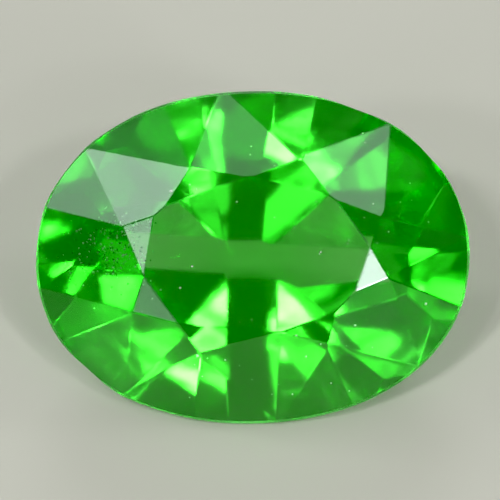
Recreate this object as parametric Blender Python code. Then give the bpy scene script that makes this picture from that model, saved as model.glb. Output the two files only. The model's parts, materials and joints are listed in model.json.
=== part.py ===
"""Oval cut tsavorite garnet, a loose stone of one piece, lying on a facet of its pavilion.

Run with Blender: blender --background --python part.py
Units are metres and +Z is up. The stone is drawn upright in millimetres first, with x along its
length, y across it and z along the table's normal, and z = 0 in the middle of its girdle. It is
cut as a cutter would: an oval blank loses one plane after another, so every facet is truly flat.
Then it is laid down on its lower long pavilion facet, on the plane z = 0.
"""

import math
from typing import NamedTuple

import bmesh
import bpy
from mathutils import Matrix, Vector

METRES_PER_MM = 0.001

# The oval blank, in millimetres
LENGTH = 6.00
WIDTH = 4.59
OUTLINE_POWER = 2.14  # 2 is a true ellipse, and a little more gives the fuller shoulders
OUTLINE_TURN = 1.7  # degrees from the stone's x axis to the oval's long axis
OUTLINE_SIDES = 120
BLANK_MARGIN = 0.2  # how far the blank reaches over the table

# Heights over and under the middle of the girdle, in millimetres
GIRDLE_TOP = 0.07
GIRDLE_BOTTOM = 0.06
CROWN_HEIGHT = 0.85
TABLE_Z = GIRDLE_TOP + CROWN_HEIGHT


class Bezel(NamedTuple):
    """One kite-shaped crown facet, with the points where it meets its neighbours in plan."""

    corner: tuple  # where it touches the table
    corner_width: float  # how much of the table's edge it takes there
    tip: tuple  # where it reaches the girdle
    tip_width: float  # how blunt that end is
    star_point: tuple  # its side corner on the way to the next bezel, clockwise
    mid_point: tuple  # where the two upper girdle facets past that corner meet the girdle


# The crown, clockwise from the left end. The stone is a little uneven, as cut by hand
CROWN = (
    Bezel((-1.50, -0.27), 0.00, (-2.90, -0.42), 0.00, (-1.80, 0.42), (-2.78, 0.66)),
    Bezel((-1.28, 0.64), 0.22, (-2.21, 1.44), 0.14, (-0.85, 1.24), (-1.24, 2.16)),
    Bezel((-0.05, 1.11), 0.16, (-0.44, 2.37), 0.00, (0.70, 1.35), (0.90, 2.24)),
    Bezel((1.10, 0.82), 0.12, (1.84, 1.76), 0.14, (1.75, 0.59), (2.47, 1.11)),
    Bezel((1.62, 0.14), 0.00, (2.95, 0.28), 0.00, (1.86, -0.29), (2.83, -0.66)),
    Bezel((1.27, -0.61), 0.42, (2.35, -1.52), 0.00, (0.99, -1.21), (1.39, -2.07)),
    Bezel((0.39, -1.03), 0.00, (0.39, -2.30), 0.00, (-0.71, -1.32), (-0.81, -2.22)),
    Bezel((-1.03, -0.91), 0.00, (-1.75, -1.88), 0.00, (-1.65, -0.76), (-2.58, -1.14)),
)


class Main(NamedTuple):
    """One large pavilion facet: the way it faces, its slope and its depth on the stone's axis."""

    facing: float  # degrees, anticlockwise from +x
    slope: float  # degrees from the table's plane
    depth: float  # millimetres under the middle of the girdle


# The two narrow facets of the long sides. The stone lies on the lower one
UPPER_SIDE_MAIN = Main(90.0, 39.0, 1.88)
LOWER_SIDE_MAIN = Main(-90.0, 39.0, 1.91)
OTHER_MAINS = (
    # Beside each of those, one towards either end
    Main(76.0, 39.2, 1.90),
    Main(104.0, 38.7, 1.95),
    Main(-76.0, 39.9, 1.98),
    Main(-104.0, 39.9, 1.98),
    # Across the shoulders of the oval
    Main(48.0, 34.3, 1.925),
    Main(132.0, 34.0, 2.00),
    Main(-48.0, 36.0, 2.05),
    Main(-132.0, 36.5, 2.01),
    # The ends, where the stone is shallow
    Main(20.0, 25.0, 1.86),
    Main(160.0, 26.5, 1.92),
    Main(-20.0, 25.0, 1.86),
    Main(-160.0, 26.5, 1.92),
    # Either side of the keel
    Main(90.0, 20.0, 1.78),
    Main(-90.0, 20.0, 1.78),
)
LOWER_GIRDLE_FACETS = 16
LOWER_GIRDLE_SLOPE_SIDE = 45.0  # degrees, where they face square to the long axis
LOWER_GIRDLE_SLOPE_END = 37.5  # degrees, at the ends
BLANK_BOTTOM = -2.3  # below the keel

# The stone's colour and polish
STONE_COLOR = (0.010, 0.400, 0.030, 1.0)
STONE_ROUGHNESS = 0.02
STONE_IOR = 1.74


def clear_scene():
    """Removes whatever the file opened with."""
    for obj in list(bpy.data.objects):
        bpy.data.objects.remove(obj, do_unlink=True)


def outline_point(angle):
    """Point of the oval at this angle in radians: a superellipse, turned by OUTLINE_TURN."""
    cos, sin = math.cos(angle), math.sin(angle)
    x = LENGTH / 2 * math.copysign(abs(cos) ** (2 / OUTLINE_POWER), cos)
    y = WIDTH / 2 * math.copysign(abs(sin) ** (2 / OUTLINE_POWER), sin)
    return Matrix.Rotation(math.radians(OUTLINE_TURN), 2) @ Vector((x, y))


def outline_facing(angle):
    """Outward direction of the oval's wall at this angle."""
    step = 1e-3
    along = outline_point(angle + step) - outline_point(angle - step)
    return Vector((along.y, -along.x)).normalized()


def make_blank():
    """Upright oval prism, a little taller than the stone."""
    mesh = bmesh.new()
    height = TABLE_Z + BLANK_MARGIN - BLANK_BOTTOM
    turns = [2 * math.pi * (i + 0.5) / OUTLINE_SIDES for i in range(OUTLINE_SIDES)]
    ring = [mesh.verts.new((*outline_point(turn), BLANK_BOTTOM)) for turn in turns]
    base = mesh.faces.new(ring)
    extruded = bmesh.ops.extrude_face_region(mesh, geom=[base])
    upper_ring = [item for item in extruded["geom"] if isinstance(item, bmesh.types.BMVert)]
    bmesh.ops.translate(mesh, verts=upper_ring, vec=(0, 0, height))
    bmesh.ops.recalc_face_normals(mesh, faces=mesh.faces)
    return mesh


def cut_facet(mesh, point, normal):
    """Removes what lies outside the plane and closes the cut with one flat face."""
    cut = bmesh.ops.bisect_plane(
        mesh,
        geom=[*mesh.verts, *mesh.edges, *mesh.faces],
        dist=1e-6,
        plane_co=point,
        plane_no=normal,
        clear_outer=True,
    )
    edges = [item for item in cut["geom_cut"] if isinstance(item, bmesh.types.BMEdge)]
    rim = [edge for edge in edges if edge.is_boundary]
    if rim:
        bmesh.ops.edgeloop_fill(mesh, edges=rim)


def cut_through(mesh, first, second, third):
    """Cuts along the plane through three points of the crown."""
    normal = (second - first).cross(third - first).normalized()
    if normal.z < 0:
        normal.negate()
    cut_facet(mesh, first, normal)


def raised(point, z):
    """A point of the plan at this height."""
    return Vector((*point, z))


def bezel_facing(index):
    """The way a bezel faces: square to the line between its two side corners."""
    along = Vector(CROWN[index].star_point) - Vector(CROWN[index - 1].star_point)
    return Vector((-along.y, along.x)).normalized()


def bezel_plane(index):
    """Point and normal of a bezel: it falls from its table corner to its girdle tip."""
    bezel = CROWN[index]
    facing = bezel_facing(index)
    run = (Vector(bezel.tip) - Vector(bezel.corner)).dot(facing)
    normal = Vector((*(facing * CROWN_HEIGHT / run), 1)).normalized()
    return raised(bezel.tip, GIRDLE_TOP), normal


def height_on(plane, point):
    """Height of a plane over a point of the plan."""
    on_plane, normal = plane
    flat = Vector(point) - on_plane.to_2d()
    return on_plane.z - normal.to_2d().dot(flat) / normal.z


def blunt_ends(point, width, facing):
    """The two ends of a blunt corner, the one first met on the way clockwise first."""
    clockwise = Vector((facing.y, -facing.x))
    half = clockwise * width / 2
    return Vector(point) - half, Vector(point) + half


def cut_crown(mesh):
    """The table, eight bezels, eight stars and sixteen upper girdle facets."""
    cut_facet(mesh, Vector((0, 0, TABLE_Z)), Vector((0, 0, 1)))
    for index, bezel in enumerate(CROWN):
        following = (index + 1) % len(CROWN)
        after = CROWN[following]
        facings = bezel_facing(index), bezel_facing(following)
        planes = bezel_plane(index), bezel_plane(following)
        cut_facet(mesh, *planes[0])

        # The star and both upper girdle facets meet the two bezels in one point
        heights = [height_on(plane, bezel.star_point) for plane in planes]
        star_point = raised(bezel.star_point, sum(heights) / len(heights))
        near_corner = blunt_ends(bezel.corner, bezel.corner_width, facings[0])[1]
        far_corner = blunt_ends(after.corner, after.corner_width, facings[1])[0]
        cut_through(mesh, raised(near_corner, TABLE_Z), raised(far_corner, TABLE_Z), star_point)

        mid_point = raised(bezel.mid_point, GIRDLE_TOP)
        near_tip = blunt_ends(bezel.tip, bezel.tip_width, facings[0])[1]
        far_tip = blunt_ends(after.tip, after.tip_width, facings[1])[0]
        cut_through(mesh, raised(near_tip, GIRDLE_TOP), mid_point, star_point)
        cut_through(mesh, raised(far_tip, GIRDLE_TOP), mid_point, star_point)


def pavilion_normal(facing, slope):
    """Outward normal of a pavilion facet: sideways by its slope, and down."""
    tilt = math.radians(slope)
    return Vector((*(facing * math.sin(tilt)), -math.cos(tilt)))


def cut_pavilion(mesh):
    """The large facets, then the steeper lower girdle facets that each touch the girdle."""
    for main in (UPPER_SIDE_MAIN, LOWER_SIDE_MAIN, *OTHER_MAINS):
        turn = math.radians(main.facing)
        facing = Vector((math.cos(turn), math.sin(turn)))
        cut_facet(mesh, Vector((0, 0, -main.depth)), pavilion_normal(facing, main.slope))
    for index in range(LOWER_GIRDLE_FACETS):
        turn = 2 * math.pi * (index + 0.5) / LOWER_GIRDLE_FACETS
        facing = outline_facing(turn)
        sideways = abs(facing.y)
        slope = LOWER_GIRDLE_SLOPE_END
        slope += (LOWER_GIRDLE_SLOPE_SIDE - LOWER_GIRDLE_SLOPE_END) * sideways
        touch = raised(outline_point(turn), -GIRDLE_BOTTOM)
        cut_facet(mesh, touch, pavilion_normal(facing, slope))


def lay_down(mesh):
    """Turns the stone onto its lower side main, rests it on z = 0 and centres it there."""
    turn = Matrix.Rotation(math.radians(LOWER_SIDE_MAIN.slope), 4, "X")
    bmesh.ops.transform(mesh, matrix=turn, verts=mesh.verts)
    bmesh.ops.scale(mesh, vec=(METRES_PER_MM,) * 3, verts=mesh.verts)
    lows = [min(vert.co[axis] for vert in mesh.verts) for axis in range(3)]
    highs = [max(vert.co[axis] for vert in mesh.verts) for axis in range(3)]
    middle_x, middle_y = (lows[0] + highs[0]) / 2, (lows[1] + highs[1]) / 2
    bmesh.ops.translate(mesh, verts=mesh.verts, vec=(-middle_x, -middle_y, -lows[2]))


def stone_material():
    """Clear vivid green crystal with a bright polish."""
    material = bpy.data.materials.new("tsavorite")
    material.use_nodes = True
    shader = material.node_tree.nodes["Principled BSDF"]
    shader.inputs["Base Color"].default_value = STONE_COLOR
    shader.inputs["Roughness"].default_value = STONE_ROUGHNESS
    shader.inputs["Metallic"].default_value = 0.0
    shader.inputs["IOR"].default_value = STONE_IOR
    shader.inputs["Transmission Weight"].default_value = 1.0
    return material


def make_garnet():
    """The whole stone, cut from its blank and laid down."""
    mesh = make_blank()
    cut_crown(mesh)
    cut_pavilion(mesh)
    bmesh.ops.remove_doubles(mesh, verts=mesh.verts, dist=1e-4)
    lay_down(mesh)
    bmesh.ops.recalc_face_normals(mesh, faces=mesh.faces)
    data = bpy.data.meshes.new("garnet")
    mesh.to_mesh(data)
    mesh.free()
    data.materials.append(stone_material())
    garnet = bpy.data.objects.new("garnet", data)
    bpy.context.scene.collection.objects.link(garnet)
    return garnet


def main():
    clear_scene()
    make_garnet()


main()
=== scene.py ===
"""Looks of an oval cut tsavorite garnet that lies on a pavilion facet, laid out as an add-on.

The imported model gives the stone's exact facets, and everything here is built round them: the
polished crystal with its worn junctions, what is sealed inside it, the dust on its crown, and a
pale table top with soft lamps. Lengths are metres unless a name or a comment says millimetres.
"""

import json
import math
from typing import NamedTuple

import bmesh
import bpy
import numpy as np
from bpy.props import FloatProperty, FloatVectorProperty, IntProperty, PointerProperty
from mathutils import Matrix, Vector


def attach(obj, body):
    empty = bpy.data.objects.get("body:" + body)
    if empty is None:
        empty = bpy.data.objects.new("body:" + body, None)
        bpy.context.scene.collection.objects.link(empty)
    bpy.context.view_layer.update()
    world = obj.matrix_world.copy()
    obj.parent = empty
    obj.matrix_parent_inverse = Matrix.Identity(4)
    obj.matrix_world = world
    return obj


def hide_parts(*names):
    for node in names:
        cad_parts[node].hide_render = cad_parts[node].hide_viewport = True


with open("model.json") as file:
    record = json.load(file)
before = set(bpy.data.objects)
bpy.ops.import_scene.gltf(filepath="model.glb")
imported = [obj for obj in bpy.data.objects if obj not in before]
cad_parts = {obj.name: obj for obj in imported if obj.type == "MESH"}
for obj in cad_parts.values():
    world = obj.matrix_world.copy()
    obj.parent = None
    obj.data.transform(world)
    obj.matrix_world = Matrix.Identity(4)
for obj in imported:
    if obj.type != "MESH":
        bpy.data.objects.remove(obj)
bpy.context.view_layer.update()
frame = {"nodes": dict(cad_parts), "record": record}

bl_info = {
    "name": "Oval Tsavorite",
    "version": (1, 0, 0),
    "blender": (4, 5, 0),
    "location": "View3D > Sidebar > Garnet",
    "description": "Builds a faceted green garnet, its inclusions, its dust and a small stage",
    "category": "Object",
}

MM = 0.001
STONE_NODE = "garnet"
BODY = "root"

# The stone's own directions: along its length, across it, and out of its table
TABLE_MOUNT = next(m for m in frame["record"]["mounts"] if m["name"] == "table")
OUT_OF_TABLE = np.array(TABLE_MOUNT["axis"]) / np.linalg.norm(TABLE_MOUNT["axis"])
ALONG = np.array([1.0, 0.0, 0.0])
ACROSS = np.cross(OUT_OF_TABLE, ALONG)
BASIS = np.array([ALONG, ACROSS, OUT_OF_TABLE])

# The photograph's frame
PHOTO_SIDE = 500
STONE_LENGTH_PX = 434
STONE_CENTRE_PX = (252.7, 257.3)

# Reading the CAD stone and cutting it again
MERGE_MM = 0.0005  # corners closer than this are one corner
FLAT_MM = 0.0008  # corners this close to a facet's plane lie in it
SAME_FACING = 0.9995  # least cosine between the normals of one facet's triangles
BLOCK_MARGIN_MM = 1.0  # what the uncut block has to spare on each side
CUT_DISTANCE_MM = 1e-6
SHARP_DEGREES = 5.0  # two facets whose normals differ by more have a worn junction
TABLE_OVER_GIRDLE_MM = 0.92
# Sine of the angle by which a face's normal leans out of the girdle's plane
GIRDLE_UPRIGHT = 0.06  # less than this on the girdle's wall
RIM_LEAN = 0.66  # less than this on the wall and on its worn lines

# Grain of the ground rim, of the specks and of the table top, with noise scales for each metre
GROUND_SCALE = 60000.0
GROUND_HEIGHT = 0.000003
SPECK_SCALE = 30000.0
MOTTLE_SCALE = 120.0
MOTTLE_SHADE = 0.97  # brightness of the darker spots, as a share of the table top's

# Grains sealed in the stone, in the plan of the oval and under its crown, millimetres
GRAIN_SEED = 7
GRAINS_MIDDLE = np.array([-1.90, 0.12])
GRAINS_SPREAD = np.array([0.30, 0.24])
GRAIN_DEPTHS = (0.04, 0.30)
DARK_GRAIN_RADIUS = 0.015
PALE_GRAIN_RADIUS = 0.014
GRAIN_SHARE = (0.35, 1.0)  # smallest and largest grain, as shares of these radii

# Dust on the crown, millimetres
DUST_SEED = 11
DUST_REACH = np.array([2.7, 2.0])
DUST_OVAL = np.array([2.8, 2.1])
DUST_RADIUS = 0.004  # of the finest motes, and what the others have more on average
DUST_LIFT = 0.4  # height of a mote's middle over the facet, as a share of its radius

# The ball that every speck is made from, and how unevenly
BALL_AROUND = 6
BALL_BANDS = 4
STRETCH = (0.7, 1.3)
PUSH = (0.75, 1.25)


class GarnetStone(bpy.types.PropertyGroup):
    """What the crystal is like."""

    ior: FloatProperty(name="IOR", description="Refractive index", default=1.74, min=1.0, max=3.0)
    body_color: FloatVectorProperty(
        name="Body Colour",
        description="Light that gets through: the crystal absorbs what a channel lacks here",
        subtype="COLOR",
        size=3,
        default=(0.43, 0.955, 0.36),
    )
    density: FloatProperty(
        name="Colour Density",
        description="How strongly the crystal absorbs, for each metre of it",
        default=1000.0,
    )
    junction: FloatProperty(
        name="Junction Width",
        description="Width of the worn line between two facets",
        default=0.000022,
        unit="LENGTH",
        precision=6,
    )
    rim: FloatProperty(
        name="Rim Width",
        description="Width of the worn line between the girdle's wall and a facet",
        default=0.000070,
        unit="LENGTH",
        precision=6,
    )
    frost: FloatProperty(
        name="Girdle Frost",
        description="Roughness that grinding adds to the girdle",
        default=0.25,
        min=0.0,
        max=1.0,
        subtype="FACTOR",
    )
    crown_haze: FloatProperty(
        name="Crown Haze",
        description="Roughness of the crown's polish",
        default=0.13,
        min=0.0,
        max=1.0,
        subtype="FACTOR",
    )
    pavilion_haze: FloatProperty(
        name="Pavilion Haze",
        description="Roughness of the pavilion's polish",
        default=0.05,
        min=0.0,
        max=1.0,
        subtype="FACTOR",
    )
    wave_scale: FloatProperty(
        name="Facet Wave Scale",
        description="Swells for each metre of a lower facet",
        default=1500.0,
    )
    wave_height: FloatProperty(
        name="Facet Wave Height",
        description="Height of the swells on the lower facets",
        default=0.000006,
        unit="LENGTH",
        precision=6,
    )


class GarnetSpecks(bpy.types.PropertyGroup):
    """What is sealed in the crystal, and what lies on it."""

    inclusions: IntProperty(
        name="Inclusions",
        description="Grains of each kind under the left bezel",
        default=150,
        min=1,
    )
    grain_color: FloatVectorProperty(
        name="Grain Colour",
        description="Colour of the grains inside",
        subtype="COLOR",
        size=3,
        default=(0.030, 0.240, 0.030),
    )
    feather_color: FloatVectorProperty(
        name="Feather Colour",
        description="Colour of the pale grains inside",
        subtype="COLOR",
        size=3,
        default=(0.55, 0.95, 0.55),
    )
    motes: IntProperty(name="Motes", description="Dust on the crown", default=80, min=1)
    dust_color: FloatVectorProperty(
        name="Dust Colour",
        description="Colour of the dust",
        subtype="COLOR",
        size=3,
        default=(0.75, 0.78, 0.70),
    )


class GarnetStage(bpy.types.PropertyGroup):
    """The table top, the lamps and the camera."""

    floor_color: FloatVectorProperty(
        name="Table Top",
        description="Colour of the table top",
        subtype="COLOR",
        size=3,
        default=(0.537, 0.541, 0.433),
    )
    room: FloatProperty(
        name="Room Light", description="Brightness of the room round the lamps", default=0.23
    )
    lamps: FloatProperty(name="Lamp Light", description="Brightness of all lamps", default=1.0)
    lamp_color: FloatVectorProperty(
        name="Lamp Colour",
        description="Colour of the lamps",
        subtype="COLOR",
        size=3,
        default=(1.0, 1.0, 1.12),
        max=2.0,
    )
    black: FloatProperty(
        name="Black Level", description="Light that the film shows as black", default=0.026
    )
    lens: FloatProperty(
        name="Lens", description="Focal length in millimetres", default=800.0, min=50.0
    )


class Lamp(NamedTuple):
    """A round soft lamp by where it stands, seen from the stone."""

    name: str
    azimuth: float  # degrees clockwise, seen from above, from straight behind the stone
    elevation: float  # degrees over the table top
    spread: float  # degrees across
    radiance: float  # brightness of its face
    core: float = 0.0  # brightness of a small disc before its middle, if it has one


# Each stands where some of the facets mirror it towards the camera
LAMPS = (
    Lamp("left_back", -66.0, 43.5, 15.0, 4.0),
    Lamp("left_back_low", -71.0, 32.0, 8.0, 2.2),
    Lamp("right_back", 56.0, 48.5, 14.0, 1.8),
    Lamp("overhead", -8.0, 63.0, 12.0, 1.0),
    Lamp("left_side", -127.5, 43.8, 7.0, 2.0),
    Lamp("left_low", -149.0, 24.0, 7.0, 1.8),
    Lamp("right_star", 139.4, 29.0, 7.0, 12.0),
    Lamp("right_fill", 157.0, 36.0, 16.0, 1.0),
    Lamp("left_front", -152.0, 39.0, 13.0, 1.6),
    Lamp("left_fill", -137.0, 36.0, 17.0, 0.9),
    Lamp("left_high", -132.0, 57.5, 9.0, 1.2, 60.0),
    Lamp("left_top", -143.5, 60.5, 8.5, 1.2, 45.0),
    Lamp("left_far", -109.0, 48.0, 12.0, 1.2),
    Lamp("left_between", -136.0, 43.0, 8.0, 1.5, 60.0),
    Lamp("right_high", 139.5, 52.0, 8.5, 1.2, 65.0),
    Lamp("right_between", 148.5, 40.0, 8.0, 1.0, 32.0),
    Lamp("right_far", 158.0, 45.0, 8.0, 1.0, 8.0),
    Lamp("right_low", 87.0, 12.0, 15.0, 3.0, 30.0),
    Lamp("right_side_low", 124.0, 19.0, 8.0, 1.5, 9.0),
    Lamp("right_near", 138.0, 13.5, 8.5, 1.5, 36.0),
    Lamp("left_near", -137.5, 28.0, 10.0, 1.5, 2.0),
    Lamp("left_ground", -138.0, 8.0, 13.0, 2.0, 4.0),
    Lamp("left_rim", -75.0, 15.0, 8.0, 22.0),
    Lamp("back_low", 0.0, 29.0, 22.0, 5.5),
)
LAMP_DISTANCE = 0.6
CORE_SHARE = 0.6  # width of the small disc, as a share of the lamp's
CORE_NEARER = 0.97  # its distance, as a share of the lamp's, so that the lamp doesn't cover it
FLOOR_GAP = 0.00001  # how far the table top lies under the stone
FLOOR_SIZE = 4.0
FLOOR_ROUGHNESS = 0.7
LIGHT_TURNS = 32  # most turns that the light's way can take


def cad_stone():
    """Corners in millimetres and triangles of the CAD stone, with equal corners merged."""
    mesh = frame["nodes"][STONE_NODE].data
    mesh.calc_loop_triangles()
    points = np.empty(len(mesh.vertices) * 3, np.float32)
    mesh.vertices.foreach_get("co", points)
    triangles = np.empty(len(mesh.loop_triangles) * 3, np.int32)
    mesh.loop_triangles.foreach_get("vertices", triangles)
    points = points.reshape(-1, 3).astype(float) / MM
    _, first, index = np.unique(
        np.round(points / MERGE_MM), axis=0, return_index=True, return_inverse=True
    )
    return points[first], index.reshape(-1)[triangles].reshape(-1, 3)


def facet_planes(points, triangles):
    """Normals and offsets of the stone's facets.

    A facet is the largest triangle that is left, with every triangle whose corners lie in its
    plane and which faces the same way. Its normal is the mean of theirs by area. The stone is
    convex, so a sliver whose plane would pass through the stone is no facet.
    """
    corners = points[triangles]
    cross = np.cross(corners[:, 1] - corners[:, 0], corners[:, 2] - corners[:, 0])
    doubled = np.linalg.norm(cross, axis=1)
    unit = cross / np.maximum(doubled, 1e-12)[:, None]
    left = doubled > 0
    normals, offsets = [], []
    while left.any():
        seed = np.argmax(np.where(left, doubled, 0))
        height = (corners - corners[seed, 0]) @ unit[seed]
        member = left & (np.abs(height).max(axis=1) < FLAT_MM) & (unit @ unit[seed] > SAME_FACING)
        member[seed] = True
        normal = cross[member].sum(axis=0)
        normal /= np.linalg.norm(normal)
        weights = doubled[member][:, None]
        middle = (corners[member].mean(axis=1) * weights).sum(axis=0) / weights.sum()
        if (points @ normal).max() < normal @ middle + FLAT_MM:
            normals.append(normal)
            offsets.append(normal @ middle)
        left &= ~member
    return np.array(normals), np.array(offsets)


POINTS, TRIANGLES = cad_stone()
FACET_NORMALS, FACET_OFFSETS = facet_planes(POINTS, TRIANGLES)
SPAN_LOW, SPAN_HIGH = (POINTS @ BASIS.T).min(axis=0), (POINTS @ BASIS.T).max(axis=0)
# Middle of the oval in the plane of the girdle, in the stone's own directions, millimetres
GIRDLE_CENTRE = np.array(
    [
        (SPAN_LOW[0] + SPAN_HIGH[0]) / 2,
        (SPAN_LOW[1] + SPAN_HIGH[1]) / 2,
        SPAN_HIGH[2] - TABLE_OVER_GIRDLE_MM,
    ]
)


def to_world(own):
    """World place in metres of points in the stone's own directions, in mm from the oval's middle."""
    return (np.asarray(own) + GIRDLE_CENTRE) @ BASIS * MM


def link_mesh(name, data):
    """A new object at the origin that holds this mesh."""
    piece = bpy.data.objects.new(name, data)
    bpy.context.scene.collection.objects.link(piece)
    return piece


def new_material(name):
    """Empty node material with its output, and a function that adds nodes to it."""
    material = bpy.data.materials.new(name)
    material.use_nodes = True
    tree = material.node_tree
    tree.nodes.clear()

    def add(kind, **values):
        node = tree.nodes.new(kind)
        for key, value in values.items():
            if key in node.inputs:
                node.inputs[key].default_value = value
            else:
                setattr(node, key, value)
        return node

    return material, tree, add


def tsavorite_material(settings):
    """Clear green crystal.

    The colour comes from absorption, so thin places are pale and long paths are deep. The face
    attribute girdle marks the ground rim and the attribute pavilion the lower facets. The rim is
    rough and grainy, the crown's polish is not quite clear, and the lower facets are not quite
    flat, which melts the lamps' reflections into soft patches.
    """
    material, tree, add = new_material("tsavorite")
    link = tree.links.new
    coords = add("ShaderNodeTexCoord")
    rim = add("ShaderNodeAttribute", attribute_name="girdle")
    lower = add("ShaderNodeAttribute", attribute_name="pavilion")

    haze = add("ShaderNodeMapRange")
    haze.inputs["To Min"].default_value = settings.crown_haze
    haze.inputs["To Max"].default_value = settings.pavilion_haze
    link(lower.outputs["Fac"], haze.inputs["Value"])
    frost = add("ShaderNodeMath", operation="MULTIPLY_ADD")
    frost.inputs[1].default_value = settings.frost
    link(rim.outputs["Fac"], frost.inputs[0])
    link(haze.outputs["Result"], frost.inputs[2])

    grain = add("ShaderNodeTexNoise", Scale=GROUND_SCALE, Detail=3.0, Roughness=0.6)
    link(coords.outputs["Object"], grain.inputs["Vector"])
    ground = add("ShaderNodeMath", operation="MULTIPLY")
    link(grain.outputs["Fac"], ground.inputs[0])
    link(rim.outputs["Fac"], ground.inputs[1])
    rim_bump = add("ShaderNodeBump", Strength=1.0, Distance=GROUND_HEIGHT)
    link(ground.outputs[0], rim_bump.inputs["Height"])

    swell = add("ShaderNodeTexNoise", Scale=settings.wave_scale, Detail=1.0, Roughness=0.4)
    link(coords.outputs["Object"], swell.inputs["Vector"])
    swelling = add("ShaderNodeMath", operation="MULTIPLY")
    link(swell.outputs["Fac"], swelling.inputs[0])
    link(lower.outputs["Fac"], swelling.inputs[1])
    wave = add("ShaderNodeBump", Strength=1.0, Distance=settings.wave_height)
    link(swelling.outputs[0], wave.inputs["Height"])
    link(rim_bump.outputs["Normal"], wave.inputs["Normal"])

    shader = add("ShaderNodeBsdfPrincipled", IOR=settings.ior, Roughness=0.0)
    shader.inputs["Base Color"].default_value = (1.0, 1.0, 1.0, 1.0)
    shader.inputs["Transmission Weight"].default_value = 1.0
    link(frost.outputs[0], shader.inputs["Roughness"])
    link(wave.outputs["Normal"], shader.inputs["Normal"])

    absorption = add("ShaderNodeVolumeAbsorption", Density=settings.density)
    absorption.inputs["Color"].default_value = (*settings.body_color, 1.0)
    output = add("ShaderNodeOutputMaterial")
    link(shader.outputs["BSDF"], output.inputs["Surface"])
    link(absorption.outputs["Volume"], output.inputs["Volume"])
    return material


def speck_material(name, color, contrast, roughness):
    """Dull matter whose colour drifts a little from grain to grain."""
    material, tree, add = new_material(name)
    link = tree.links.new
    coords = add("ShaderNodeTexCoord")
    noise = add("ShaderNodeTexNoise", Scale=SPECK_SCALE, Detail=2.0)
    ramp = add("ShaderNodeValToRGB")
    dark = [channel * (1 - contrast) for channel in color]
    ramp.color_ramp.elements[0].position = 0.3
    ramp.color_ramp.elements[0].color = (*dark, 1.0)
    ramp.color_ramp.elements[1].position = 0.7
    ramp.color_ramp.elements[1].color = (*color, 1.0)
    shader = add("ShaderNodeBsdfPrincipled", Roughness=roughness)
    output = add("ShaderNodeOutputMaterial")
    link(coords.outputs["Object"], noise.inputs["Vector"])
    link(noise.outputs["Fac"], ramp.inputs["Fac"])
    link(ramp.outputs["Color"], shader.inputs["Base Color"])
    link(shader.outputs["BSDF"], output.inputs["Surface"])
    return material


def take_off(mesh, normal, offset):
    """Cuts away what lies past the plane and closes the cut with one flat facet."""
    cut = bmesh.ops.bisect_plane(
        mesh,
        geom=[*mesh.verts, *mesh.edges, *mesh.faces],
        dist=CUT_DISTANCE_MM,
        plane_co=Vector(normal * offset),
        plane_no=Vector(normal),
        clear_outer=True,
    )
    edges = [item for item in cut["geom_cut"] if isinstance(item, bmesh.types.BMEdge)]
    rim = [edge for edge in edges if edge.is_boundary]
    if rim:
        bmesh.ops.edgeloop_fill(mesh, edges=rim)


def junction_planes(mesh, width, rim_width):
    """Planes that take off the sharp junctions, as normals and offsets in millimetres.

    Each leans half way between the two facets that meet, at the depth that leaves a line of this
    width: half the width times the tangent of half the angle between the facets' normals. The line
    is wider where the girdle's wall meets a facet.
    """
    sharp_cosine = math.cos(math.radians(SHARP_DEGREES))
    mesh.normal_update()
    pairs = [edge for edge in mesh.edges if len(edge.link_faces) == 2]
    first = np.array([edge.link_faces[0].normal for edge in pairs])
    second = np.array([edge.link_faces[1].normal for edge in pairs])
    middle = np.array([(edge.verts[0].co + edge.verts[1].co) / 2 for edge in pairs])
    cosine = (first * second).sum(axis=1)
    sharp = cosine < sharp_cosine
    half_angle = np.arccos(np.clip(cosine[sharp], -1, 1)) / 2
    normals = first[sharp] + second[sharp]
    normals /= np.linalg.norm(normals, axis=1)[:, None]
    upright = np.minimum(np.abs(first @ OUT_OF_TABLE), np.abs(second @ OUT_OF_TABLE))[sharp]
    widths = np.where(upright < GIRDLE_UPRIGHT, rim_width, width)
    depths = widths / 2 * np.tan(half_angle)
    return normals, (normals * middle[sharp]).sum(axis=1) - depths


def cut_stone_mesh(junction, rim):
    """The stone as one closed mesh of truly flat facets: a block that loses each facet's plane."""
    mesh = bmesh.new()
    low, high = POINTS.min(axis=0), POINTS.max(axis=0)
    bmesh.ops.create_cube(mesh, size=1.0)
    bmesh.ops.scale(mesh, vec=high - low + 2 * BLOCK_MARGIN_MM, verts=mesh.verts)
    bmesh.ops.translate(mesh, vec=(low + high) / 2, verts=mesh.verts)
    for normal, offset in zip(FACET_NORMALS, FACET_OFFSETS):
        take_off(mesh, normal, offset)
    for normal, offset in zip(*junction_planes(mesh, junction / MM, rim / MM)):
        take_off(mesh, normal, offset)
    bmesh.ops.scale(mesh, vec=(MM, MM, MM), verts=mesh.verts)
    bmesh.ops.recalc_face_normals(mesh, faces=mesh.faces)
    return mesh


def mark_facets(data):
    """Face attributes: girdle is 1 on the wall and its worn lines, and pavilion is 1 below them."""
    normals = np.empty(len(data.polygons) * 3, np.float32)
    data.polygons.foreach_get("normal", normals)
    lean = normals.reshape(-1, 3) @ OUT_OF_TABLE
    for name, marked in (("girdle", np.abs(lean) < RIM_LEAN), ("pavilion", lean < -RIM_LEAN)):
        mark = data.attributes.new(name, "FLOAT", "FACE")
        mark.data.foreach_set("value", marked.astype(np.float32))


def crown_surface(plan):
    """Height of the crown over points of the plan, and which facet carries each.

    Every crown facet is a plane, and the crown at a point is the lowest of them there.
    """
    own = FACET_NORMALS @ BASIS.T
    facing_up = np.flatnonzero(own[:, 2] > GIRDLE_UPRIGHT)
    normals = own[facing_up]
    offsets = FACET_OFFSETS[facing_up] - normals @ GIRDLE_CENTRE
    heights = (offsets - plan @ normals[:, :2].T) / normals[:, 2]
    lowest = heights.argmin(axis=1)
    return heights[np.arange(len(plan)), lowest], normals[lowest]


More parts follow.
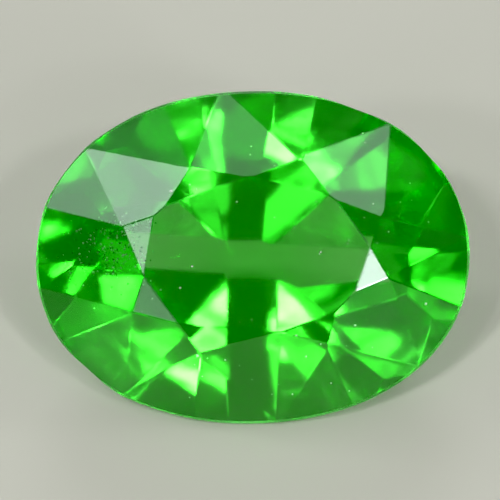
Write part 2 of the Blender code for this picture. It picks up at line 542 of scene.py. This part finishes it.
def inside(own, margin):
    """Which points, in the stone's own directions, lie this deep under every facet."""
    world = (own + GIRDLE_CENTRE) @ BASIS
    return (world @ FACET_NORMALS.T - FACET_OFFSETS).max(axis=1) < -margin


def blob_form(around, along):
    """Directions and triangles of a closed ball: rings of points, and a point at each pole."""
    turn = np.arange(around) * 2 * np.pi / around
    tilt = np.linspace(0, np.pi, along + 1)[1:-1]
    turns, tilts = np.meshgrid(turn, tilt)
    rings = np.stack(
        [np.cos(turns) * np.sin(tilts), np.sin(turns) * np.sin(tilts), np.cos(tilts)], axis=-1
    ).reshape(-1, 3)
    directions = np.concatenate([[[0, 0, 1.0]], rings, [[0, 0, -1.0]]])
    grid = 1 + np.arange((along - 1) * around).reshape(along - 1, around)
    after = np.roll(grid, -1, axis=1)
    top = np.stack([np.zeros(around, int), grid[0], after[0]], axis=-1)
    last = len(directions) - 1
    bottom = np.stack([np.full(around, last), after[-1], grid[-1]], axis=-1)
    sides = np.stack([grid[:-1], grid[1:], after[1:], after[:-1]], axis=-1).reshape(-1, 4)
    halves = np.concatenate([sides[:, [0, 1, 2]], sides[:, [0, 2, 3]]])
    return directions, np.concatenate([top, halves, bottom])


def blob_cloud(centres, radii, squash, rng):
    """One mesh of many uneven grains.

    Each grain is the ball above times its radius, stretched by a random amount along each axis,
    with each point pushed in or out by up to a quarter.
    """
    directions, faces = blob_form(BALL_AROUND, BALL_BANDS)
    count = len(centres)
    stretch = rng.uniform(*STRETCH, (count, 1, 3)) * np.array(squash)
    push = rng.uniform(*PUSH, (count, len(directions), 1))
    points = centres[:, None] + directions[None] * stretch * push * radii[:, None, None]
    every = faces[None] + (np.arange(count) * len(directions))[:, None, None]
    return points.reshape(-1, 3), every.reshape(-1, 3)


def mesh_of(name, points, faces):
    """Mesh data from whole arrays of points and triangles."""
    data = bpy.data.meshes.new(name)
    data.vertices.add(len(points))
    data.vertices.foreach_set("co", points.astype(np.float32).ravel())
    data.loops.add(faces.size)
    data.loops.foreach_set("vertex_index", faces.astype(np.int32).ravel())
    data.polygons.add(len(faces))
    data.polygons.foreach_set("loop_start", np.arange(0, faces.size, 3, dtype=np.int32))
    data.update(calc_edges=True)
    data.validate()
    return data


class GARNET_OT_stone(bpy.types.Operator):
    """Cut the stone again with true facets, worn junctions and a ground girdle"""

    bl_idname = "garnet.stone"
    bl_label = "Cut Stone"

    def execute(self, context):
        settings = context.scene.garnet_stone
        data = bpy.data.meshes.new("cut_stone")
        mesh = cut_stone_mesh(settings.junction, settings.rim)
        mesh.to_mesh(data)
        mesh.free()
        if not data.polygons:
            raise RuntimeError("the stone was cut away")
        mark_facets(data)
        data.materials.append(tsavorite_material(settings))
        stone = link_mesh("cut_stone", data)
        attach(stone, BODY)
        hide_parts(STONE_NODE)
        return {"FINISHED"}


class GARNET_OT_inclusions(bpy.types.Operator):
    """Scatter dark and pale grains inside the left end of the stone"""

    bl_idname = "garnet.inclusions"
    bl_label = "Grow Inclusions"

    def execute(self, context):
        settings = context.scene.garnet_specks
        rng = np.random.default_rng(GRAIN_SEED)
        for name, color, radius in (
            ("inclusions", settings.grain_color, DARK_GRAIN_RADIUS),
            ("feathers", settings.feather_color, PALE_GRAIN_RADIUS),
        ):
            plan = GRAINS_MIDDLE + rng.normal(size=(settings.inclusions, 2)) * GRAINS_SPREAD
            heights, _ = crown_surface(plan)
            depths = rng.uniform(*GRAIN_DEPTHS, len(plan))
            centres = np.column_stack([plan, heights - depths])
            centres = centres[inside(centres, 2 * radius)]
            if not len(centres):
                raise RuntimeError("no inclusion fits inside the stone")
            radii = rng.uniform(*GRAIN_SHARE, len(centres)) * radius * MM
            points, faces = blob_cloud(to_world(centres), radii, (1.0, 1.0, 1.0), rng)
            data = mesh_of(name, points, faces)
            data.materials.append(speck_material(f"{name}_matter", color, 0.5, 0.5))
            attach(link_mesh(name, data), BODY)
        return {"FINISHED"}


class GARNET_OT_dust(bpy.types.Operator):
    """Settle fine dust on the crown"""

    bl_idname = "garnet.dust"
    bl_label = "Settle Dust"

    def execute(self, context):
        settings = context.scene.garnet_specks
        rng = np.random.default_rng(DUST_SEED)
        plan = rng.uniform(-DUST_REACH, DUST_REACH, (settings.motes * 3, 2))
        plan = plan[((plan / DUST_OVAL) ** 2).sum(axis=1) < 1][: settings.motes]
        if not len(plan):
            raise RuntimeError("no dust falls on the stone")
        heights, normals = crown_surface(plan)
        radii = DUST_RADIUS + rng.exponential(DUST_RADIUS, len(plan))
        centres = np.column_stack([plan, heights]) + normals * radii[:, None] * DUST_LIFT
        points, faces = blob_cloud(to_world(centres), radii * MM, (1.0, 1.0, 0.7), rng)
        data = mesh_of("dust", points, faces)
        data.materials.append(speck_material("dust", settings.dust_color, 0.3, 0.9))
        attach(link_mesh("dust", data), BODY)
        return {"FINISHED"}


def floor_material(color):
    """Pale matt table top with the faintest mottling."""
    material, tree, add = new_material("table_top")
    link = tree.links.new
    coords = add("ShaderNodeTexCoord")
    noise = add("ShaderNodeTexNoise", Scale=MOTTLE_SCALE, Detail=3.0)
    ramp = add("ShaderNodeValToRGB")
    ramp.color_ramp.elements[0].color = (*[channel * MOTTLE_SHADE for channel in color], 1.0)
    ramp.color_ramp.elements[1].color = (*color, 1.0)
    shader = add("ShaderNodeBsdfPrincipled", Roughness=FLOOR_ROUGHNESS)
    output = add("ShaderNodeOutputMaterial")
    link(coords.outputs["Object"], noise.inputs["Vector"])
    link(noise.outputs["Fac"], ramp.inputs["Fac"])
    link(ramp.outputs["Color"], shader.inputs["Base Color"])
    link(shader.outputs["BSDF"], output.inputs["Surface"])
    return material


def sky_direction(azimuth, elevation):
    """Unit vector from the stone: azimuth from +Y towards +X, elevation over the horizon."""
    turn, rise = math.radians(azimuth), math.radians(elevation)
    return Vector(
        (math.sin(turn) * math.cos(rise), math.cos(turn) * math.cos(rise), math.sin(rise))
    )


def add_disc(name, lamp, distance, spread, radiance, color):
    """Round area light that faces the stone; its power gives its face this radiance."""
    width = 2 * distance * math.tan(math.radians(spread / 2))
    light = bpy.data.lights.new(name, "AREA")
    light.shape = "DISK"
    light.size = width
    light.color = color
    light.energy = math.pi * (math.pi / 4 * width * width) * radiance
    away = sky_direction(lamp.azimuth, lamp.elevation)
    holder = bpy.data.objects.new(name, light)
    holder.location = away * distance
    holder.rotation_mode = "QUATERNION"
    holder.rotation_quaternion = away.to_track_quat("Z", "Y")
    bpy.context.scene.collection.objects.link(holder)


def add_lamp(lamp, brightness, color):
    """A soft lamp: one disc, and a smaller one before its middle where it has a core."""
    add_disc(lamp.name, lamp, LAMP_DISTANCE, lamp.spread, lamp.radiance * brightness, color)
    if lamp.core > 0:
        spread, radiance = lamp.spread * CORE_SHARE, lamp.core * brightness
        add_disc(f"{lamp.name}_core", lamp, LAMP_DISTANCE * CORE_NEARER, spread, radiance, color)


def add_camera(lens):
    """Camera straight over the table, so that the oval stands where the photograph has it."""
    pixels_per_mm = STONE_LENGTH_PX / (SPAN_HIGH[0] - SPAN_LOW[0])
    half = PHOTO_SIDE / 2
    aim = ((half - STONE_CENTRE_PX[0]) / pixels_per_mm, (STONE_CENTRE_PX[1] - half) / pixels_per_mm)
    data = bpy.data.cameras.new("camera")
    data.lens = lens
    distance = PHOTO_SIDE / pixels_per_mm * lens / data.sensor_width
    data.clip_start = 0.001
    data.clip_end = 10.0
    camera = bpy.data.objects.new("camera", data)
    place = to_world((*aim, distance))
    turn = Matrix(np.array([ALONG, ACROSS, OUT_OF_TABLE]).T.tolist())
    camera.matrix_world = Matrix.Translation(place) @ turn.to_4x4()
    bpy.context.scene.collection.objects.link(camera)
    bpy.context.scene.camera = camera


class GARNET_OT_stage(bpy.types.Operator):
    """Set the table top, the room light, the lamps and the camera"""

    bl_idname = "garnet.stage"
    bl_label = "Set Stage"

    def execute(self, context):
        scene, settings = context.scene, context.scene.garnet_stage
        half = FLOOR_SIZE / 2
        corners = np.array([[-half, -half], [half, -half], [half, half], [-half, half]])
        data = bpy.data.meshes.new("table_top")
        data.from_pydata([(*c, -FLOOR_GAP) for c in corners.tolist()], [], [(0, 1, 2, 3)])
        data.materials.append(floor_material(settings.floor_color))
        link_mesh("table_top", data)

        world = bpy.data.worlds.new("room")
        world.use_nodes = True
        world.node_tree.nodes["Background"].inputs["Color"].default_value = (1.0, 1.0, 1.0, 1.0)
        world.node_tree.nodes["Background"].inputs["Strength"].default_value = settings.room
        scene.world = world
        for lamp in LAMPS:
            add_lamp(lamp, settings.lamps, settings.lamp_color)
        add_camera(settings.lens)

        # Light turns many times inside a stone, and the plain view keeps its greens strong
        scene.cycles.max_bounces = LIGHT_TURNS
        scene.cycles.glossy_bounces = LIGHT_TURNS
        scene.cycles.transmission_bounces = LIGHT_TURNS
        scene.view_settings.view_transform = "Standard"
        scene.view_settings.use_curve_mapping = True
        scene.view_settings.curve_mapping.black_level = [settings.black] * 3
        scene.view_settings.curve_mapping.update()
        if scene.camera is None:
            raise RuntimeError("the stage has no camera")
        return {"FINISHED"}


class GARNET_PT_panel(bpy.types.Panel):
    """Buttons and settings in the sidebar"""

    bl_idname = "GARNET_PT_panel"
    bl_label = "Oval Tsavorite"
    bl_space_type = "VIEW_3D"
    bl_region_type = "UI"
    bl_category = "Garnet"

    def draw(self, context):
        layout = self.layout
        for group in (
            context.scene.garnet_stone,
            context.scene.garnet_specks,
            context.scene.garnet_stage,
        ):
            box = layout.box()
            for name in group.__annotations__:
                box.prop(group, name)
        for operator in OPERATORS:
            layout.operator(operator.bl_idname)


OPERATORS = (GARNET_OT_stone, GARNET_OT_inclusions, GARNET_OT_dust, GARNET_OT_stage)
CLASSES = (GarnetStone, GarnetSpecks, GarnetStage, *OPERATORS, GARNET_PT_panel)


def register():
    for item in CLASSES:
        bpy.utils.register_class(item)
    bpy.types.Scene.garnet_stone = PointerProperty(type=GarnetStone)
    bpy.types.Scene.garnet_specks = PointerProperty(type=GarnetSpecks)
    bpy.types.Scene.garnet_stage = PointerProperty(type=GarnetStage)


def unregister():
    del bpy.types.Scene.garnet_stage
    del bpy.types.Scene.garnet_specks
    del bpy.types.Scene.garnet_stone
    for item in reversed(CLASSES):
        bpy.utils.unregister_class(item)


def main():
    """Registers the add-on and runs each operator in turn."""
    register()
    for operator in OPERATORS:
        group, name = operator.bl_idname.split(".")
        getattr(getattr(bpy.ops, group), name)()


if __name__ == "__main__":
    main()
